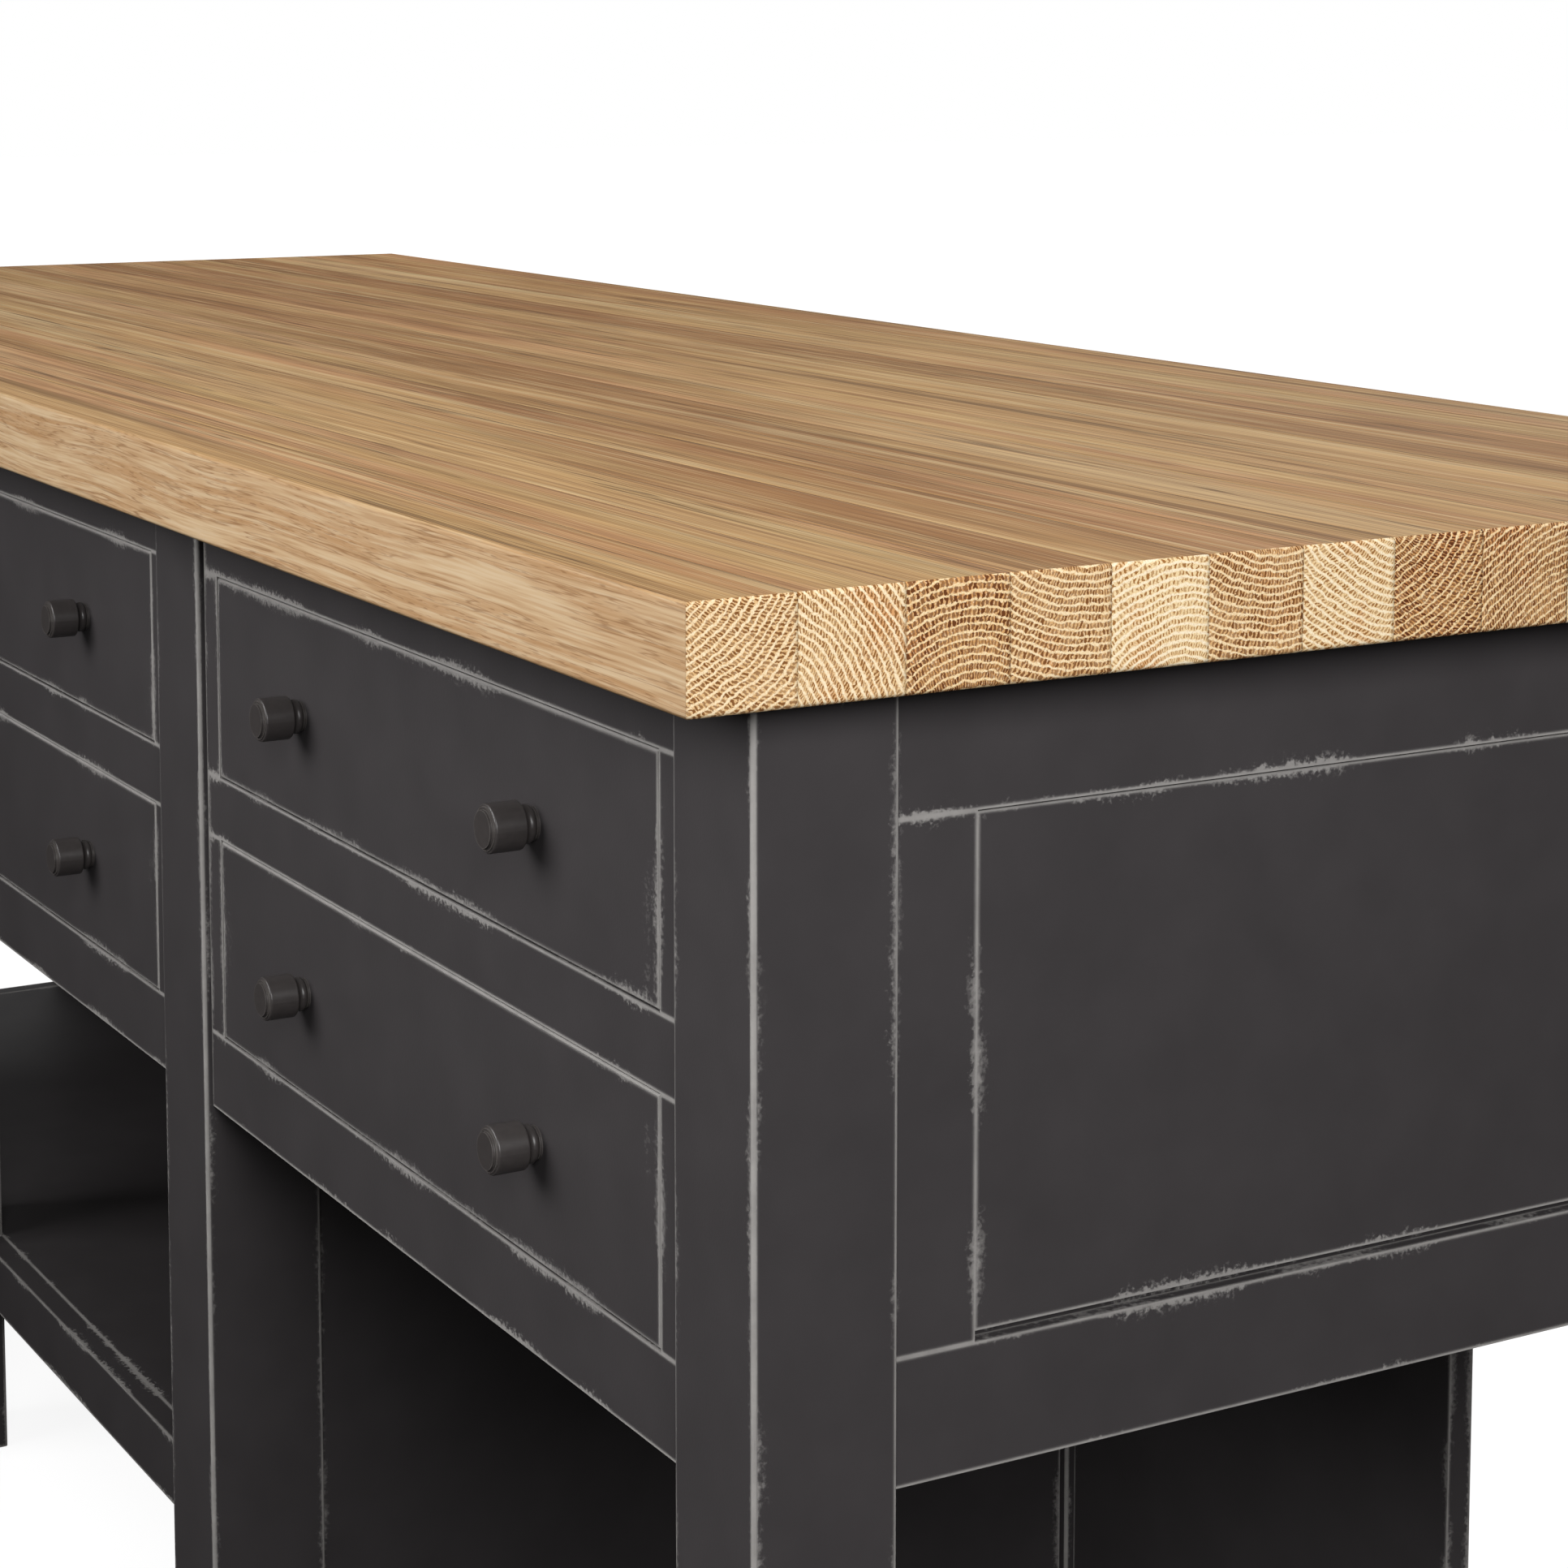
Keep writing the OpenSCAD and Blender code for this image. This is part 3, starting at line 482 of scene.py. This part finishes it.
ENAMEL = knob_enamel()

# %% [markdown]
# ## Bare wood inside
# Drawer sides, backs, runners and bearers are plain planed beech, and the drawer bottoms are birch
# plywood. Both are fine and even: long faint streaks along the board, and beech's short brown
# flecks, a few millimetres long. One recipe serves both, with the grain along X or along Y.

# %% Planed beech and birch
GRAIN_ACROSS, GRAIN_ALONG = 90.0, 2.5       # repeats to a metre
FLECK_ACROSS, FLECK_ALONG = 700.0, 160.0
WOOD_IOR = 1.5
ALONG_X, ALONG_Y = 0, 1
MANY_FLECKS, FEW_FLECKS = 0.45, 0.1

def planed_wood(name, pale, dark, along, fleck):
    made, tree = start_material(name)
    place = add(tree, "TexCoord").outputs["Object"]
    repeats = [GRAIN_ACROSS] * 3
    repeats[along] = GRAIN_ALONG
    grain = add(tree, "VectorMath", [place, repeats], operation="MULTIPLY")
    grain = add(tree, "TexNoise", {"Vector": grain, "Scale": 1.0, "Detail": 4.0, "Roughness": 0.6})
    repeats = [FLECK_ACROSS] * 3
    repeats[along] = FLECK_ALONG
    flecks = add(tree, "VectorMath", [place, repeats], operation="MULTIPLY")
    flecks = add(tree, "TexNoise", {"Vector": flecks, "Scale": 1.0, "Detail": 1.0})
    flecks = add(tree, "MapRange", {"Value": flecks, "From Min": 0.62, "From Max": 0.70, "To Max": fleck})
    tone = add(tree, "MapRange", {"Value": grain, "From Min": 0.3, "From Max": 0.7})
    colour = add(tree, "MixRGB", [tone, linear(pale), linear(dark)])
    colour = add(tree, "MixRGB", [flecks, colour, linear("#8a6138")])
    bump = add(tree, "Bump", {"Strength": 0.15, "Distance": 0.0003, "Height": grain})
    shader = add(tree, "BsdfPrincipled", {"Base Color": colour, "Roughness": 0.6, "IOR": WOOD_IOR,
                                          "Specular IOR Level": 0.3, "Normal": bump})
    return end_material(made, tree, shader)

BEECH_Y = planed_wood("planed_beech_lengthwise", "#d3b187", "#bd9566", ALONG_Y, MANY_FLECKS)
BEECH_X = planed_wood("planed_beech_crosswise", "#d3b187", "#bd9566", ALONG_X, MANY_FLECKS)
PLYWOOD = planed_wood("birch_plywood", "#dcc49a", "#cbae80", ALONG_X, FEW_FLECKS)

# %% [markdown]
# ## Who wears what
# Each piece already has a name, so the finishes are handed out by name. Picking faces by hand would
# give the same picture, but the choice would be lost as soon as the solid model changes.

# %% Assign the finishes
def finish_for(name):
    if name.startswith("worktop"):
        return OAK
    if name.endswith("_knobs"):
        return ENAMEL
    if name in ("runners", "guides", "kickers", "drawer_stops") or name.endswith("_sides"):
        return BEECH_Y
    if name in ("rear_bearers", "shelf_cleats") or name.endswith("_back"):
        return BEECH_X
    if name.startswith("drawer_") and name.endswith("_bottom"):
        return PLYWOOD
    return PAINT

worn_by = {}
for name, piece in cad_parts.items():
    finish = finish_for(name)
    for slot in piece.material_slots:
        slot.material = finish
    worn_by.setdefault(finish.name, []).append(name)
for finish, names in worn_by.items():
    print(finish, "on", len(names), "pieces")

# %% [markdown]
# ## Floor
# A product photo on white needs a white surround that doesn't flood the object with light. The
# floor takes real shadows, and only towards the camera is it lifted with a little glow, so that
# it reads as white. To every other ray it is dark grey, because the photo shows hardly any light
# from below. Far out the glow rises, so that no line shows where the floor meets the background.

# %% Floor
FLOOR_SIZE = 60                         # metres
FADE_START, FADE_END = 1.8, 3.6         # metres from the island's middle
GLOW_NEAR, GLOW_FAR = 1.36, 1.58
GLOW_SHARE = 0.66                       # the rest is paper that takes shadows

def stage_floor():
    bpy.ops.mesh.primitive_plane_add(size=FLOOR_SIZE)
    floor = bpy.context.object
    floor.name = "studio_floor"
    made, tree = start_material("studio_white")
    seen = add(tree, "LightPath").outputs["Is Camera Ray"]
    shade = add(tree, "MixRGB", [seen, linear("#3a3a3a"), linear("#e4e4e4")])
    paper = add(tree, "BsdfDiffuse", {"Color": shade})
    away = add(tree, "TexCoord").outputs["Object"]
    away = add(tree, "VectorMath", [away], operation="LENGTH").outputs["Value"]
    level = add(tree, "MapRange", {"Value": away, "From Min": FADE_START, "From Max": FADE_END,
                                   "To Min": GLOW_NEAR, "To Max": GLOW_FAR})
    glow = add(tree, "Emission", {"Color": (1, 1, 1, 1), "Strength": level})
    lift = add(tree, "Math", [seen, GLOW_SHARE], operation="MULTIPLY")
    both = add(tree, "MixShader", [lift, paper, glow])
    floor.data.materials.append(end_material(made, tree, both))

stage_floor()

# %% [markdown]
# ## Surround and lamps
# The world is plain white to the camera and dim to everything else, so the light comes from the
# lamps. A soft box in front lights the drawers, and one beside the end lights the end grain. One
# high behind brings up the top and the rear, and a weak one at the far end keeps that side
# readable. The front one has the narrowest spread, so its light falls off towards the floor.

# %% World
AIR_LIGHT = 0.10

world = bpy.data.worlds.new("soft_surround")
bpy.context.scene.world = world
world.use_nodes = True
air = world.node_tree
air.nodes.clear()
seen = add(air, "LightPath").outputs["Is Camera Ray"]
dim = add(air, "Background", {"Color": (1, 1, 1, 1), "Strength": AIR_LIGHT})
white = add(air, "Background", {"Color": (1, 1, 1, 1), "Strength": 1.0})
add(air, "OutputWorld", {"Surface": add(air, "MixShader", [seen, dim, white])})
print("world:", world.name, "with strength", AIR_LIGHT, "on the object")

# %% Lamps
def softbox(name, at, aim, wide, tall, watts, spread):
    data = bpy.data.lights.new(name, "AREA")
    data.shape = "RECTANGLE"
    data.size = wide
    data.size_y = tall
    data.energy = watts
    data.spread = math.radians(spread)
    lamp = bpy.data.objects.new(name, data)
    bpy.context.collection.objects.link(lamp)
    lamp.location = at
    lamp.rotation_euler = (Vector(aim) - Vector(at)).to_track_quat("-Z", "Y").to_euler()
    print("softbox", name, watts, "W")

softbox("key", (0.1, -2.6, 2.1), (0.9, -0.3, 1.5), wide=2.4, tall=1.7, watts=30, spread=95)
softbox("side", (3.2, -0.9, 2.0), (1.0, -0.3, 1.0), wide=1.8, tall=1.4, watts=48, spread=140)
softbox("far", (-3.0, 0.4, 2.9), (-1.0, 0.0, 0.5), wide=1.6, tall=1.2, watts=13, spread=140)
softbox("back", (-1.2, 2.5, 2.8), (-0.9, 0.1, 0.6), wide=3.0, tall=1.2, watts=62, spread=180)
bpy.context.scene.view_settings.view_transform = "Standard"

# %% [markdown]
# ## Camera
# The photo is a close view of the near corner. Its lens, place and turn were worked out from points
# on the top and the drawers. The original keeps uprights vertical by shifting the lens a long way
# down; a smaller shift and a slight tilt give nearly the same picture and keep other views whole.

# %% Camera
LENS, SENSOR, SHIFT = 78.56, 36.0, -0.25
PLACE = Vector((2.3527, -1.0642, 1.1478))
TURN, TILT = math.radians(150.447), math.radians(5.902)

lens = bpy.data.cameras.new("camera")
lens.lens = LENS
lens.sensor_width = SENSOR
lens.shift_y = SHIFT
lens.clip_start = 0.01
lens.clip_end = 100
camera = bpy.data.objects.new("camera", lens)
bpy.context.collection.objects.link(camera)
look = Vector((math.cos(TURN) * math.cos(TILT), math.sin(TURN) * math.cos(TILT), -math.sin(TILT)))
camera.location = PLACE
camera.rotation_euler = look.to_track_quat("-Z", "Y").to_euler()
bpy.context.scene.camera = camera
print("camera looks along", [round(v, 3) for v in look])
